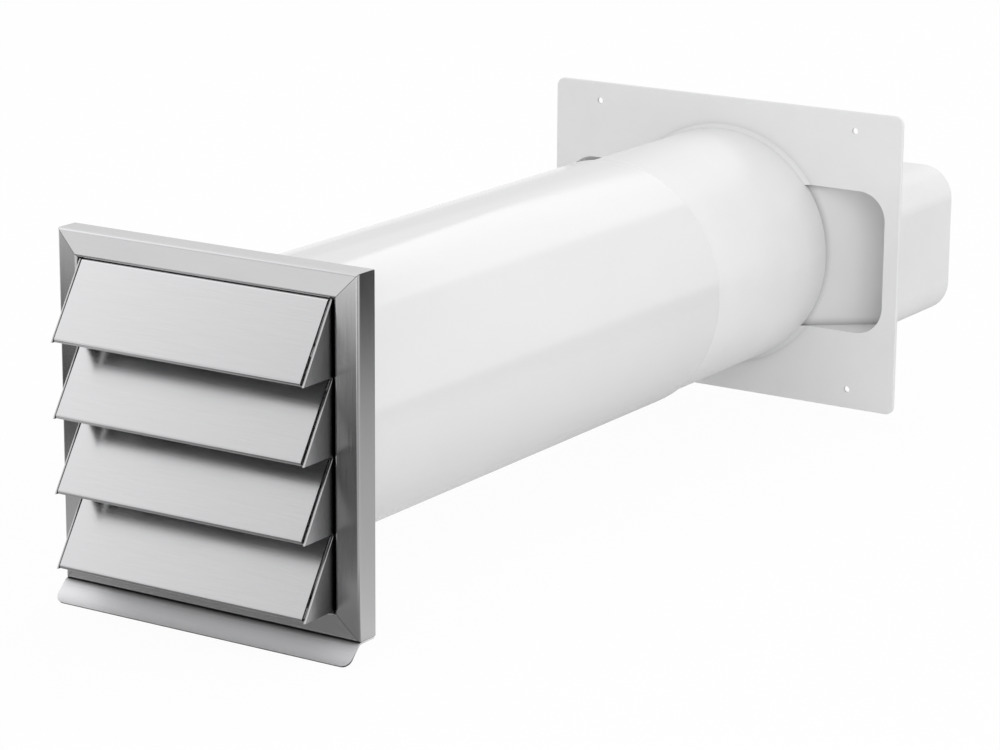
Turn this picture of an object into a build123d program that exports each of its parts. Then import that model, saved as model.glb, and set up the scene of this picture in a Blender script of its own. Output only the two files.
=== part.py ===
from build123d import *
from math import atan2, sin, sqrt
import os

# Wall vent sleeve: a stainless louvre on the outer wall, a round tube through the wall,
# and a moulded adaptor that turns the round tube into a flat duct on the room side.
# Millimetres. The tube's axis is the Y axis and y = 0 is the face of the outer wall.
# +Y runs through the wall into the room, +Z is up, +X is right as seen from outside.

# Louvre frame: four mitred channel bars
frame_width = 190.0
frame_height = 190.0
frame_depth = 14.0
bar_face = 14.0
face_rise = 1.7
bar_return = 10.0
mitre_gap = 0.3

# Stainless sheet that the louvre is folded from
sheet = 1.0
fold_radius = 1.2
weld_gap = 0.1

# Slats
slat_count = 4
slat_reach = 24.6
slat_seat_gap = 0.3
slat_tip_gap = 0.5
slat_top_leg = 10.0
slat_lip = 5.0
slat_side_gap = 1.0
lug_width = 8.0
lug_gap = 0.2

# Saw-tooth side plates that hold the slats
side_sheet = 1.2
side_bar_gap = 1.0
side_foot = 10.0
side_recess = 0.6
side_edge_radius = 0.4
least_slope = 0.1

# Back plate and the collar that goes into the tube
back_flange = 8.0
collar_length = 40.0
collar_lip = 2.0

# Drip edge under the frame
drip_reach = 10.0
drip_drop = 10.0
drip_bend = 5.0
drip_corner = 5.0

# Wall tube, pushed over the collar on one end and over the adaptor on the other
tube_diameter = 152.0
tube_wall = 1.5
slip = 0.3

# Room adaptor: round collar, cover plate, flare and flat duct spigot in one moulding
wall_depth = 520.0
bare_collar = 138.0
collar_lap = 60.0
moulding_wall = 2.0
root_width = 2.5
plate_width = 248.0
plate_height = 188.0
plate_thickness = 2.0
plate_corner = 5.5
plate_edge_chamfer = 0.5
hole_spacing_x = 183.0
hole_spacing_z = 164.0
hole_diameter = 4.0
duct_width = 232.0
duct_height = 94.0
duct_corner = 20.0
duct_reach = 90.0
duct_edge_chamfer = 0.6
flare_depth = 45.0
flare_bite = 0.5

# Places that several pieces share
rim_y = -(frame_depth + face_rise)
opening_width = frame_width - 2 * bar_face
opening_height = frame_height - 2 * bar_face
side_outer_x = opening_width / 2 - side_bar_gap
side_inner_x = side_outer_x - side_sheet
slat_pitch = opening_height / slat_count
tube_radius = tube_diameter / 2
collar_radius = tube_radius - tube_wall - slip
tube_start = -sheet
tube_end = wall_depth - bare_collar
duct_end = wall_depth + duct_reach
flare_end = wall_depth + flare_depth
flare_start_x = sqrt(collar_radius**2 - (duct_height / 2) ** 2)
slant_shift = moulding_wall / sin(atan2(duct_width / 2 - flare_start_x, flare_depth))


def facing_out(y):
    """A plane across the tube at y, looked at from outside: x is right and y is up."""
    return Plane(origin=(0, y, 0), x_dir=(1, 0, 0), z_dir=(0, -1, 0))


def prism(outline, y_from, y_to):
    """An outline drawn across the tube, as a solid from y_from to y_to."""
    return extrude(facing_out(y_to) * outline, amount=y_to - y_from)


def along_x(outline, half_width):
    """An outline drawn in the Y, Z plane, as a solid to half_width each side of x = 0."""
    return extrude(Plane.YZ * outline, amount=half_width, both=True)


def folded(points, radius, thickness):
    """The section of a folded sheet whose middle follows the points."""
    return trace(FilletPolyline(*points, radius=radius), thickness)


def frame_bar(length, offset):
    """One channel bar along X, with its outer face at z = offset and mitred ends."""
    half = sheet / 2
    section = folded(
        [
            (0, offset - half),
            (-frame_depth + half, offset - half),
            (rim_y + half, offset - bar_face + half),
            (rim_y + bar_return, offset - bar_face + half),
        ],
        fold_radius,
        sheet,
    )
    end = length / 2 - mitre_gap / 2
    inner_end = end - bar_face
    mitres = make_face(
        Polyline(
            (-end, offset),
            (end, offset),
            (inner_end, offset - bar_face),
            (-inner_end, offset - bar_face),
            close=True,
        )
    )
    return along_x(section, length / 2) & prism(mitres, rim_y, 0)


def back_plate():
    """A shallow tray inside the bars, open where the tube goes through."""
    width = frame_width - 2 * (sheet + weld_gap)
    height = frame_height - 2 * (sheet + weld_gap)
    tray = prism(Rectangle(width, height), -back_flange, 0)
    hollow = prism(Rectangle(width - 2 * sheet, height - 2 * sheet), -back_flange, -sheet)
    hole = prism(Circle(tube_radius + slip), -sheet, 0)
    return tray - hollow - hole


def tube_collar():
    """A rolled ring that goes into the tube, with a lip behind which the tube stops."""
    pipe = prism(Circle(collar_radius) - Circle(collar_radius - sheet), tube_start, collar_length)
    lip_radius = tube_radius + slip + collar_lip
    lip = Circle(lip_radius) - Circle(collar_radius - sheet)
    between_sides = Rectangle(2 * (side_inner_x - slip), 2 * lip_radius)
    return pipe + prism(lip & between_sides, tube_start - sheet, tube_start)


def slat_top(row):
    """Height of the top of a slat's share of the opening."""
    return opening_height / 2 - row * slat_pitch


def slat(row):
    """A folded slat with a level top leg, a sloping blade, a level lip and two lugs."""
    half = sheet / 2
    top_z = slat_top(row) - slat_seat_gap - half
    tip_z = slat_top(row) - slat_pitch + slat_tip_gap + half
    tip_y = rim_y - slat_reach
    section = folded(
        [
            (rim_y + slat_top_leg, top_z),
            (rim_y + half, top_z),
            (tip_y + half, tip_z),
            (tip_y + slat_lip, tip_z),
        ],
        fold_radius,
        sheet,
    )
    lugs = Pos(0, rim_y + slat_top_leg - lug_width / 2, top_z) * Box(2 * side_outer_x, lug_width, sheet)
    return along_x(section, side_inner_x - slat_side_gap) + lugs


def is_sloping(edge):
    """True for an edge that leans from Y towards Z, as a tooth's front edge does."""
    direction = edge % 0
    return min(abs(direction.Y), abs(direction.Z)) > least_slope


def side_plate():
    """The right-hand side plate: a saw-tooth leg, folded out to a foot on the back plate."""
    foot_y = -sheet - side_sheet / 2
    leg_x = side_outer_x - side_sheet / 2
    tip_y = rim_y - slat_reach + side_recess
    section = folded(
        [(side_outer_x + side_foot, foot_y), (leg_x, foot_y), (leg_x, tip_y)], fold_radius, side_sheet
    )
    blank = extrude(section, amount=opening_height / 2, both=True)
    root_y = rim_y + side_recess
    teeth = [(-sheet, slat_top(slat_count) + slat_tip_gap)]
    for row in reversed(range(slat_count)):
        tip_z = slat_top(row + 1) + slat_tip_gap
        teeth.append((root_y, tip_z))
        teeth.append((tip_y, tip_z))
        teeth.append((root_y, slat_top(row) - slat_seat_gap))
    teeth.append((-sheet, slat_top(0) - slat_seat_gap))
    leg = blank & along_x(make_face(Polyline(*teeth, close=True)), side_outer_x + side_foot)
    leg = fillet(leg.edges().filter_by(is_sloping), side_edge_radius)
    slot = Box(4 * side_sheet, lug_width + 2 * lug_gap, sheet + 2 * lug_gap)
    slot_y = rim_y + slat_top_leg - lug_width / 2
    for row in range(slat_count):
        slot_z = slat_top(row) - slat_seat_gap - sheet / 2
        leg = leg - Pos(leg_x, slot_y, slot_z) * slot
    return leg


def drip_edge():
    """A sheet under the bottom bar that bends forward and down, with rounded free corners."""
    top = -frame_height / 2 - sheet / 2
    section = folded(
        [(-sheet, top), (-frame_depth, top), (-frame_depth - drip_reach, top - drip_drop)],
        drip_bend,
        sheet,
    )
    lip = along_x(section, frame_width / 2)
    corners = lip.edges().filter_by(lambda edge: edge.center().Z < top - drip_drop + sheet)
    corners = corners.filter_by(lambda edge: edge.length < 2 * sheet)
    return fillet(corners, drip_corner)


def wall_tube():
    """The straight round tube."""
    bore = Circle(tube_radius - tube_wall)
    return prism(Circle(tube_radius) - bore, tube_start, tube_end)


def duct_outline(inset):
    """Rounded rectangle of the flat duct spigot, drawn inset from its outer face."""
    return RectangleRounded(duct_width - 2 * inset, duct_height - 2 * inset, duct_corner - inset)


def flare_cone(inset):
    """The round part of the flare: a cone from the collar down to the duct's height."""
    end_radius = duct_height / 2 - flare_bite - inset
    section = make_face(
        Polyline(
            (0, wall_depth),
            (collar_radius - inset, wall_depth),
            (end_radius, flare_end),
            (0, flare_end),
            close=True,
        )
    )
    return revolve(section, Axis.Y)


def flare_wedge(inset, shift):
    """The flat part of the flare: it widens from inside the collar to the duct's width."""
    widening = make_face(
        Polyline(
            (-flare_start_x, wall_depth + shift),
            (flare_start_x, wall_depth + shift),
            (duct_width / 2, flare_end + shift),
            (-duct_width / 2, flare_end + shift),
            close=True,
        )
    )
    wedge = extrude(widening, amount=duct_height / 2, both=True)
    return wedge & prism(duct_outline(inset), wall_depth, flare_end + shift)


def root_ring():
    """A small sloping web in the corner between the collar and the plate's wall side."""
    inner = collar_radius - moulding_wall / 2
    section = make_face(
        Polyline(
            (inner, wall_depth),
            (collar_radius + root_width, wall_depth),
            (collar_radius, wall_depth - root_width),
            (inner, wall_depth - root_width),
            close=True,
        )
    )
    return revolve(section, Axis.Y)


def room_adaptor():
    """Collar, plate, flare and spigot, with a pocket each side of the collar."""
    collar_start = tube_end - collar_lap
    plate = prism(RectangleRounded(plate_width, plate_height, plate_corner), wall_depth, wall_depth + plate_thickness)
    rim = plate.faces().sort_by(Axis.Y)[0].edges()
    plate = chamfer(rim, plate_edge_chamfer)
    for hole in GridLocations(hole_spacing_x, hole_spacing_z, 2, 2):
        drill = hole * Circle(hole_diameter / 2)
        plate = plate - prism(drill, wall_depth, wall_depth + plate_thickness)
    spigot = prism(duct_outline(0), wall_depth, duct_end)
    mouth = spigot.faces().sort_by(Axis.Y)[-1].edges()
    spigot = chamfer(mouth, duct_edge_chamfer)
    pocket = prism(duct_outline(moulding_wall), wall_depth - root_width, duct_end)
    body = plate + root_ring() + spigot - pocket
    body = body + prism(Circle(collar_radius), collar_start, wall_depth)
    body = body + flare_cone(0) + flare_wedge(flare_bite, 0)
    air_way = prism(Circle(collar_radius - moulding_wall), collar_start, wall_depth)
    air_way = air_way + flare_cone(moulding_wall) + flare_wedge(moulding_wall, slant_shift)
    air_way = air_way + prism(duct_outline(moulding_wall), flare_end + slant_shift, duct_end)
    return body - air_way


def all_parts():
    """Every sub-part by its name."""
    bar = frame_bar(frame_width, frame_height / 2)
    post = frame_bar(frame_height, frame_width / 2)
    right = side_plate()
    parts = {
        "frame_bar_top": bar,
        "frame_bar_bottom": Rot(0, 180, 0) * bar,
        "frame_bar_right": Rot(0, 90, 0) * post,
        "frame_bar_left": Rot(0, -90, 0) * post,
        "back_plate": back_plate(),
        "tube_collar": tube_collar(),
        "side_plate_right": right,
        "side_plate_left": mirror(right, about=Plane.YZ),
        "drip_edge": drip_edge(),
        "wall_tube": wall_tube(),
        "room_adaptor": room_adaptor(),
    }
    for row in range(slat_count):
        parts[f"slat_{row + 1}"] = slat(row)
    return parts


os.makedirs("parts", exist_ok=True)
for name, shape in all_parts().items():
    export_step(shape, f"parts/{name}.step")
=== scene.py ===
import bpy
from math import radians
from mathutils import Matrix, Vector


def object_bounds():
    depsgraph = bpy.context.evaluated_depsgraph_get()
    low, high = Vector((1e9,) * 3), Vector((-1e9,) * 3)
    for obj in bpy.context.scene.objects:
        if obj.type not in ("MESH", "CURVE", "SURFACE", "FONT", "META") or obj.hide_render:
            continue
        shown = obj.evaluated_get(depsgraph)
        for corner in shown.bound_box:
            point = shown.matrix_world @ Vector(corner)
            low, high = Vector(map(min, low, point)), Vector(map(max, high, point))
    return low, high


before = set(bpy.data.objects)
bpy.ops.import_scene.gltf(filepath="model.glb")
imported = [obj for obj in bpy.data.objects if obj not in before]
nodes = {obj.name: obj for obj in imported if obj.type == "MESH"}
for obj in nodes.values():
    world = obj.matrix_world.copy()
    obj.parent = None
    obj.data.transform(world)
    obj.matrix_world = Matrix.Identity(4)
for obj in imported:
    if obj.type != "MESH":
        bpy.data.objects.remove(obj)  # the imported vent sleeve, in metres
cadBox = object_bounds()
scene = bpy.context.scene
scene.view_settings.view_transform = "Standard"
print("frame loaded,", len(nodes), "nodes")


# Node helpers

noiseRange = {
    "low": 0.3,  # nearly all of a noise lies between these two
    "high": 0.7,
}
paintedShadeSamples = 8  # rays that look for a face in front of the surface, for the painted corner shade


def newMaterial(name):
    material = bpy.data.materials.new(name)
    material.use_nodes = True
    tree = material.node_tree
    return material, tree, tree.nodes["Principled BSDF"]


def addNode(tree, kind, **values):
    node = tree.nodes.new(kind)
    for key, value in values.items():
        setattr(node, key, value)
    return node


def stretchedNoise(tree, scale, detail, roughness):
    # noise fixed to the piece, with its own scale along X, Y and Z (cells per metre)
    place = addNode(tree, "ShaderNodeTexCoord")
    stretch = addNode(tree, "ShaderNodeMapping")
    stretch.inputs["Scale"].default_value = scale
    noise = addNode(tree, "ShaderNodeTexNoise")
    noise.inputs["Scale"].default_value = 1.0
    noise.inputs["Detail"].default_value = detail
    noise.inputs["Roughness"].default_value = roughness
    tree.links.new(place.outputs["Object"], stretch.inputs["Vector"])
    tree.links.new(stretch.outputs["Vector"], noise.inputs["Vector"])
    return noise.outputs["Fac"]


def spread(tree, value, low, high):
    # maps a noise to the range low to high
    ranged = addNode(tree, "ShaderNodeMapRange")
    ranged.inputs["From Min"].default_value = noiseRange["low"]
    ranged.inputs["From Max"].default_value = noiseRange["high"]
    ranged.inputs["To Min"].default_value = low
    ranged.inputs["To Max"].default_value = high
    tree.links.new(value, ranged.inputs["Value"])
    return ranged.outputs["Result"]


def twoColours(tree, value, dark, light):
    ramp = addNode(tree, "ShaderNodeValToRGB")
    ramp.color_ramp.elements[0].position = noiseRange["low"]
    ramp.color_ramp.elements[0].color = (*dark, 1)
    ramp.color_ramp.elements[1].position = noiseRange["high"]
    ramp.color_ramp.elements[1].color = (*light, 1)
    tree.links.new(value, ramp.inputs["Fac"])
    return ramp.outputs["Color"]


def paintedCornerShade(tree, colour, reach, strength):
    # painted shade: darkens the colour where another face stands closer than reach in front of the surface,
    # where shade falls
    corner = addNode(tree, "ShaderNodeAmbientOcclusion", samples=paintedShadeSamples)
    corner.inputs["Distance"].default_value = reach
    deepen = addNode(tree, "ShaderNodeMath", operation="POWER")
    deepen.inputs[1].default_value = strength
    paintedLightScale = addNode(tree, "ShaderNodeVectorMath", operation="SCALE")
    tree.links.new(corner.outputs["AO"], deepen.inputs[0])
    tree.links.new(colour, paintedLightScale.inputs[0])
    tree.links.new(deepen.outputs["Value"], paintedLightScale.inputs["Scale"])
    return paintedLightScale.outputs["Vector"]


def fineBump(tree, shader, height, strength, depth):
    bump = addNode(tree, "ShaderNodeBump")
    bump.inputs["Strength"].default_value = strength
    bump.inputs["Distance"].default_value = depth
    tree.links.new(height, bump.inputs["Height"])
    tree.links.new(bump.outputs["Normal"], shader.inputs["Normal"])


# Stainless steel

stainless = {
    "dark": (0.64, 0.64, 0.65),
    "light": (0.68, 0.68, 0.69),
    "rough": (0.17, 0.27),
    "grainAcross": 2600.0,  # the brushing
    "grainAlong": 40.0,
    "grainDetail": 4.0,
    "grainRoughness": 0.65,
    "cloudAcross": 60.0,  # broad patches that are a little duller
    "cloudAlong": 14.0,
    "cloudDetail": 3.0,
    "cloudRoughness": 0.5,
    "bumpStrength": 0.10,
    "bumpDepth": 0.000004,
}
brushedSheet = {
    "rougher": 0.0,
    "anisotropy": 0.6,
    "paintedLightScale": 1.0,
}
# side plates: the brushed steel made darker, painted shade, with painted shade beside the frame bars
sidePlate = {
    "rougher": 0.0,
    "anisotropy": 0.6,
    "paintedLightScale": 0.92,
    "paintedShadeReach": 0.030,
    "paintedShadeStrength": 2.9,
}
# drip edge: rougher than the sheets (satin), with the steel made lighter, painted light, and painted shade
# along the bottom bar
dripEdge = {
    "rougher": 0.52,
    "anisotropy": 0.3,
    "paintedLightScale": 1.44,
    "paintedShadeReach": 0.008,
    "paintedShadeStrength": 3.2,
}


def brushedSteel(name, along, sheet):
    # along is the axis that the brushing runs along
    material, tree, shader = newMaterial(name)
    fine = [stainless["grainAcross"]] * 3
    broad = [stainless["cloudAcross"]] * 3
    fine["XYZ".index(along)] = stainless["grainAlong"]
    broad["XYZ".index(along)] = stainless["cloudAlong"]
    grain = stretchedNoise(tree, fine, stainless["grainDetail"], stainless["grainRoughness"])
    cloud = stretchedNoise(tree, broad, stainless["cloudDetail"], stainless["cloudRoughness"])
    # this factor paints the steel lighter (above 1, painted light) or darker (below 1, painted shade)
    dark = [sheet["paintedLightScale"] * tone for tone in stainless["dark"]]
    light = [sheet["paintedLightScale"] * tone for tone in stainless["light"]]
    colour = twoColours(tree, grain, dark, light)
    # painted shade in corners and between parts
    if "paintedShadeReach" in sheet:
        colour = paintedCornerShade(tree, colour, sheet["paintedShadeReach"], sheet["paintedShadeStrength"])
    tree.links.new(colour, shader.inputs["Base Color"])
    # the grain and the cloud each give half of the roughness
    rough = [(value + sheet["rougher"]) / 2 for value in stainless["rough"]]
    blend = addNode(tree, "ShaderNodeMath", operation="ADD")
    tree.links.new(spread(tree, grain, *rough), blend.inputs[0])
    tree.links.new(spread(tree, cloud, *rough), blend.inputs[1])
    tree.links.new(blend.outputs["Value"], shader.inputs["Roughness"])
    fineBump(tree, shader, grain, stainless["bumpStrength"], stainless["bumpDepth"])
    tangent = addNode(tree, "ShaderNodeTangent", direction_type="RADIAL", axis=along)
    tree.links.new(tangent.outputs["Tangent"], shader.inputs["Tangent"])
    shader.inputs["Metallic"].default_value = 1.0
    shader.inputs["Anisotropic"].default_value = sheet["anisotropy"]
    return material


# Wall tube

wallTube = {
    "dark": (0.755, 0.755, 0.76),
    "light": (0.79, 0.79, 0.795),
    "specular": 0.4,
    "rough": (0.10, 0.16),
    "lineScale": (220.0, 3.0, 220.0),  # faint lines from the die, along the tube
    "lineDetail": 2.0,
    "hazeScale": (9.0, 4.0, 9.0),
    "hazeDetail": 3.0,
    "noiseRoughness": 0.55,
    "bumpStrength": 0.12,
    "bumpDepth": 0.00004,
}


def extrudedPlastic(name):
    material, tree, shader = newMaterial(name)
    lines = stretchedNoise(tree, wallTube["lineScale"], wallTube["lineDetail"], wallTube["noiseRoughness"])
    haze = stretchedNoise(tree, wallTube["hazeScale"], wallTube["hazeDetail"], wallTube["noiseRoughness"])
    colour = twoColours(tree, haze, wallTube["dark"], wallTube["light"])
    tree.links.new(colour, shader.inputs["Base Color"])
    tree.links.new(spread(tree, haze, *wallTube["rough"]), shader.inputs["Roughness"])
    shader.inputs["Specular IOR Level"].default_value = wallTube["specular"]
    fineBump(tree, shader, lines, wallTube["bumpStrength"], wallTube["bumpDepth"])
    return material


# Room adaptor

roomAdaptor = {
    "dark": (0.785, 0.785, 0.79),
    "light": (0.825, 0.825, 0.83),
    "rough": (0.30, 0.40),
    "grainScale": (900.0, 900.0, 900.0),  # the mould's spark-eroded grain
    "hazeScale": (14.0, 14.0, 14.0),
    "noiseDetail": 3.0,
    "noiseRoughness": 0.55,
    # painted shade where faces stand close, round the collar and in the pockets
    "paintedShadeReach": 0.005,
    "paintedShadeStrength": 0.6,
    "bumpStrength": 0.15,
    "bumpDepth": 0.00002,
}


def mouldedPlastic(name):
    material, tree, shader = newMaterial(name)
    fineness = (roomAdaptor["noiseDetail"], roomAdaptor["noiseRoughness"])
    grain = stretchedNoise(tree, roomAdaptor["grainScale"], *fineness)
    haze = stretchedNoise(tree, roomAdaptor["hazeScale"], *fineness)
    colour = twoColours(tree, haze, roomAdaptor["dark"], roomAdaptor["light"])
    # painted shade round the collar and in the pockets
    colour = paintedCornerShade(tree, colour, roomAdaptor["paintedShadeReach"], roomAdaptor["paintedShadeStrength"])
    tree.links.new(colour, shader.inputs["Base Color"])
    tree.links.new(spread(tree, grain, *roomAdaptor["rough"]), shader.inputs["Roughness"])
    fineBump(tree, shader, grain, roomAdaptor["bumpStrength"], roomAdaptor["bumpDepth"])
    return material


# A finish for each node; the slats, the level bars, the back plate and the collar are brushed across

finishes = {
    "steelAcross": brushedSteel("steelBrushedAcross", "X", brushedSheet),
    "steelUpright": brushedSteel("steelBrushedUpright", "Z", brushedSheet),
    "steelSidesPaintedShade": brushedSteel("steelSidePlatesPaintedShade", "Z", sidePlate),
    "steelSatinPaintedLightAndShade": brushedSteel("steelSatinEdgePaintedLightAndShade", "X", dripEdge),
    "tube": extrudedPlastic("tubeWhite"),
    "adaptor": mouldedPlastic("adaptorWhitePaintedShade"),
}
nodeFinish = {
    "frame_bar_left": "steelUpright",
    "frame_bar_right": "steelUpright",
    "side_plate_left": "steelSidesPaintedShade",
    "side_plate_right": "steelSidesPaintedShade",
    "drip_edge": "steelSatinPaintedLightAndShade",
    "wall_tube": "tube",
    "room_adaptor": "adaptor",
}
for name, node in nodes.items():
    node.data.materials.clear()
    node.data.materials.append(finishes[nodeFinish.get(name, "steelAcross")])
print("materials ready")


# White world

whiteWorld = {
    "lightStrength": 0.85,
    "seenStrength": 1.0,
}


def seenDirectly(tree):
    # 1 for what the camera, a reflection or clear material sees, 0 for the light that falls on things
    path = addNode(tree, "ShaderNodeLightPath")
    first = addNode(tree, "ShaderNodeMath", operation="MAXIMUM")
    second = addNode(tree, "ShaderNodeMath", operation="MAXIMUM")
    tree.links.new(path.outputs["Is Camera Ray"], first.inputs[0])
    tree.links.new(path.outputs["Is Glossy Ray"], first.inputs[1])
    tree.links.new(first.outputs["Value"], second.inputs[0])
    tree.links.new(path.outputs["Is Transmission Ray"], second.inputs[1])
    return second.outputs["Value"]


def makeWorld():
    world = bpy.data.worlds.new("studioWorld")
    world.use_nodes = True
    scene.world = world
    tree = world.node_tree
    light = tree.nodes["Background"]
    light.inputs["Color"].default_value = (1, 1, 1, 1)
    light.inputs["Strength"].default_value = whiteWorld["lightStrength"]
    white = addNode(tree, "ShaderNodeBackground")
    white.inputs["Color"].default_value = (1, 1, 1, 1)
    white.inputs["Strength"].default_value = whiteWorld["seenStrength"]
    mix = addNode(tree, "ShaderNodeMixShader")
    tree.links.new(seenDirectly(tree), mix.inputs["Fac"])
    tree.links.new(light.outputs["Background"], mix.inputs[1])
    tree.links.new(white.outputs["Background"], mix.inputs[2])
    tree.links.new(mix.outputs["Shader"], tree.nodes["World Output"].inputs["Surface"])


# Floor

studioFloor = {
    "gap": 0.0002,  # from the lowest piece down to the floor
    "size": 12.0,
    "tone": 0.9,
    "roughness": 0.9,
    "glowStrength": 1.0,
    "glowShare": 0.95,  # the rest is the floor's own surface, with the shadow on it
}


def plane(name, size, place, turn=(0, 0, 0)):
    half = (size[0] / 2, size[1] / 2)
    mesh = bpy.data.meshes.new(name)
    corners = [(-half[0], -half[1], 0), (half[0], -half[1], 0), (half[0], half[1], 0), (-half[0], half[1], 0)]
    mesh.from_pydata(corners, [], [(0, 1, 2, 3)])
    made = bpy.data.objects.new(name, mesh)
    made.location = place
    made.rotation_euler = [radians(angle) for angle in turn]
    scene.collection.objects.link(made)
    return made


def makeFloor(height):
    floor = plane("studioFloor", (studioFloor["size"], studioFloor["size"]), (0, 0, height))
    material, tree, shader = newMaterial("floorWhite")
    shader.inputs["Base Color"].default_value = (*[studioFloor["tone"]] * 3, 1)
    shader.inputs["Roughness"].default_value = studioFloor["roughness"]
    glow = addNode(tree, "ShaderNodeEmission")
    glow.inputs["Color"].default_value = (1, 1, 1, 1)
    glow.inputs["Strength"].default_value = studioFloor["glowStrength"]
    share = addNode(tree, "ShaderNodeMath", operation="MULTIPLY")
    share.inputs[1].default_value = studioFloor["glowShare"]
    tree.links.new(seenDirectly(tree), share.inputs[0])
    mix = addNode(tree, "ShaderNodeMixShader")
    tree.links.new(share.outputs["Value"], mix.inputs["Fac"])
    tree.links.new(shader.outputs["BSDF"], mix.inputs[1])
    tree.links.new(glow.outputs["Emission"], mix.inputs[2])
    tree.links.new(mix.outputs["Shader"], tree.nodes["Material Output"].inputs["Surface"])
    floor.data.materials.append(material)


# Cards that only reflections see

mats = {
    # flat on the floor: half axes, centre, turn in degrees, tones from the edge (0) to the middle (1)
    "matRight": {
        "half": (1.2, 1.2),
        "place": (0.72, 0.86),
        "turn": 0,
        "tones": [(0.0, 0.85), (0.28, 0.55), (0.4, 0.5), (0.52, 0.4), (0.66, 0.17), (0.8, 0.02)],
    },
    "matCorner": {
        "half": (0.60, 0.40),
        "place": (0.46, -0.40),
        "turn": -37,
        "tones": [(0.0, 0.8), (0.3, 0.55), (0.6, 0.36), (0.9, 0.25)],
    },
    "matLeft": {
        "half": (0.66, 0.42),
        "place": (-0.50, -0.30),
        "turn": 35,
        "tones": [(0.0, 0.8), (0.3, 0.45), (0.54, 0.42), (0.7, 0.10), (0.9, 0.05)],
    },
    "matFront": {
        "half": (0.47, 0.26),
        "place": (-0.055, -0.37),
        "turn": 71,
        "tones": [(0.0, 0.85), (0.25, 0.42), (0.5, 0.15), (0.8, 0.04)],
    },
    "matNear": {
        "half": (0.22, 0.08),
        "place": (0.04, -0.06),
        "turn": 0,
        "tones": [(0.0, 0.4), (0.5, 0.22), (1.0, 0.20)],
    },
}
matStep = 0.00003  # height of each mat above the one before
matEdge = 0.15  # share of a mat, from its edge, over which it fades in
boards = {
    # upright, facing the louvre, graded from the tone on the left to that on the right
    "boardLeft": {
        "size": (2.4, 1.5),
        "place": (-0.96, -0.90, 0.92),
        "leftTone": 0.7,
        "rightTone": 1.35,
    },
    "boardBack": {
        "size": (1.6, 0.5),
        "place": (-1.30, 1.65, 0.46),
        "leftTone": 0.8,
        "rightTone": 0.8,
    },
}
gradeWidth = 0.8  # width of a board's graded middle


def reflectionOnly(card):
    card.visible_camera = False
    card.visible_diffuse = False
    card.visible_shadow = False
    card.visible_transmission = False
    card.visible_volume_scatter = False


def makeMat(name, mat, height):
    # an ellipse with a soft edge
    card = plane(name, (2 * mat["half"][0], 2 * mat["half"][1]), (*mat["place"], height), (0, 0, mat["turn"]))
    material, tree, shader = newMaterial(name)
    where = addNode(tree, "ShaderNodeTexCoord")
    shrink = addNode(tree, "ShaderNodeMapping")
    shrink.inputs["Scale"].default_value = (1 / mat["half"][0], 1 / mat["half"][1], 1)
    fade = addNode(tree, "ShaderNodeTexGradient", gradient_type="SPHERICAL")
    tree.links.new(where.outputs["Object"], shrink.inputs["Vector"])
    tree.links.new(shrink.outputs["Vector"], fade.inputs["Vector"])
    tone = addNode(tree, "ShaderNodeValToRGB")
    stops = tone.color_ramp.elements
    first, *between, last = mat["tones"]
    stops[0].position, stops[1].position = first[0], last[0]
    stops[0].color = (*[first[1]] * 3, 1)
    stops[1].color = (*[last[1]] * 3, 1)
    for position, level in between:
        stops.new(position).color = (level, level, level, 1)
    tree.links.new(fade.outputs["Fac"], tone.inputs["Fac"])
    glow = addNode(tree, "ShaderNodeEmission")
    tree.links.new(tone.outputs["Color"], glow.inputs["Color"])
    clear = addNode(tree, "ShaderNodeBsdfTransparent")
    edge = addNode(tree, "ShaderNodeMapRange", interpolation_type="SMOOTHSTEP")
    edge.inputs["From Max"].default_value = matEdge
    tree.links.new(fade.outputs["Fac"], edge.inputs["Value"])
    mix = addNode(tree, "ShaderNodeMixShader")
    tree.links.new(edge.outputs["Result"], mix.inputs["Fac"])
    tree.links.new(clear.outputs["BSDF"], mix.inputs[1])
    tree.links.new(glow.outputs["Emission"], mix.inputs[2])
    tree.links.new(mix.outputs["Shader"], tree.nodes["Material Output"].inputs["Surface"])
    card.data.materials.append(material)
    reflectionOnly(card)


def makeBoard(name, board):
    card = plane(name, board["size"], board["place"])
    card.rotation_euler = (-Vector(board["place"])).to_track_quat("Z", "Y").to_euler()
    material, tree, shader = newMaterial(name)
    where = addNode(tree, "ShaderNodeTexCoord")
    across = addNode(tree, "ShaderNodeSeparateXYZ")
    tree.links.new(where.outputs["Object"], across.inputs["Vector"])
    level = addNode(tree, "ShaderNodeMapRange", interpolation_type="SMOOTHSTEP")
    level.inputs["From Min"].default_value = -gradeWidth / 2
    level.inputs["From Max"].default_value = gradeWidth / 2
    level.inputs["To Min"].default_value = board["leftTone"]
    level.inputs["To Max"].default_value = board["rightTone"]
    tree.links.new(across.outputs["X"], level.inputs["Value"])
    glow = addNode(tree, "ShaderNodeEmission")
    tree.links.new(level.outputs["Result"], glow.inputs["Strength"])
    tree.links.new(glow.outputs["Emission"], tree.nodes["Material Output"].inputs["Surface"])
    card.data.materials.append(material)
    reflectionOnly(card)


# Soft boxes; mirrored says whether reflections show the box

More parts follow.
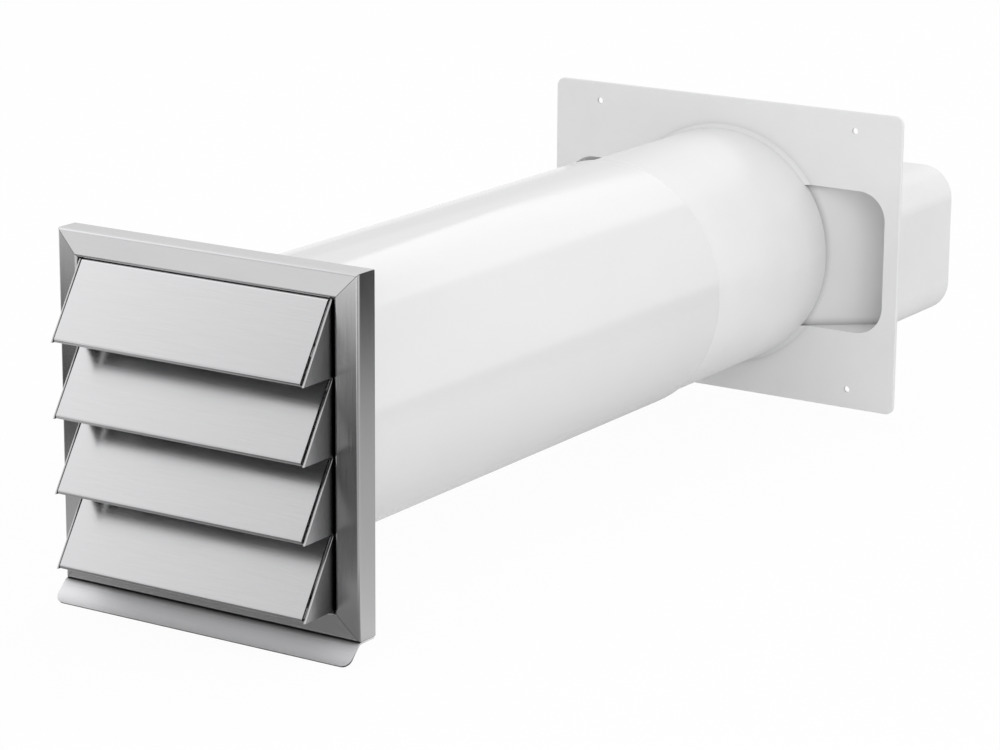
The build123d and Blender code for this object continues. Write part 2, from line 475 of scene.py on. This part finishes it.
softBoxes = {
    "keyBox": {
        "power": 1.0,
        "size": (1.6, 1.4),
        "place": (-1.1, -1.3, 1.35),
        "target": (0, 0, 0),
        "mirrored": False,
    },
    "sideBox": {
        "power": 7.0,
        "size": (1.0, 1.0),
        "place": (1.5, -1.0, 1.0),
        "target": (0, 0.3, 0),
        "mirrored": False,
    },
    "rearBox": {
        "power": 3.0,
        "size": (1.0, 1.0),
        "place": (1.9, 0.9, 0.9),
        "target": (0, 0.5, 0),
        "mirrored": False,
    },
    "backBox": {
        "power": 2.1,
        "size": (1.2, 0.5),
        "place": (-0.2, 1.9, 1.15),
        "target": (0, 0.3, 0),
        "mirrored": True,
    },
}


def makeSoftBox(name, box):
    lamp = bpy.data.lights.new(name, "AREA")
    lamp.shape = "RECTANGLE"
    lamp.size, lamp.size_y = box["size"]
    lamp.energy = box["power"]
    made = bpy.data.objects.new(name, lamp)
    made.location = box["place"]
    aim = Vector(box["target"]) - Vector(box["place"])
    made.rotation_euler = aim.to_track_quat("-Z", "Y").to_euler()
    made.visible_glossy = box["mirrored"]
    scene.collection.objects.link(made)


floorHeight = cadBox[0][2] - studioFloor["gap"]
makeWorld()
makeFloor(floorHeight)
for layer, (name, mat) in enumerate(mats.items(), 1):
    makeMat(name, mat, floorHeight + matStep * layer)
for name, board in boards.items():
    makeBoard(name, board)
for name, box in softBoxes.items():
    makeSoftBox(name, box)
print("studio ready")


# Camera at the photograph's place

view = {
    "place": (1.0551, -1.3754, 0.4846),
    "yaw": 32.8,  # degrees, like pitch and roll
    "pitch": -14.8,
    "roll": 0.4,
    "lens": 126.0,
    "sensor": 36.0,
}
lens = bpy.data.cameras.new("photoCamera")
lens.lens = view["lens"]
lens.sensor_width = view["sensor"]
lens.sensor_fit = "HORIZONTAL"
camera = bpy.data.objects.new("photoCamera", lens)
# unturned, a camera looks straight down with +Y up in its picture
turn = Matrix.Rotation(radians(view["yaw"]), 4, "Z")
turn = turn @ Matrix.Rotation(radians(90 + view["pitch"]), 4, "X")
turn = turn @ Matrix.Rotation(radians(view["roll"]), 4, "Z")
camera.matrix_world = Matrix.Translation(view["place"]) @ turn
scene.collection.objects.link(camera)
scene.camera = camera
print("camera ready")
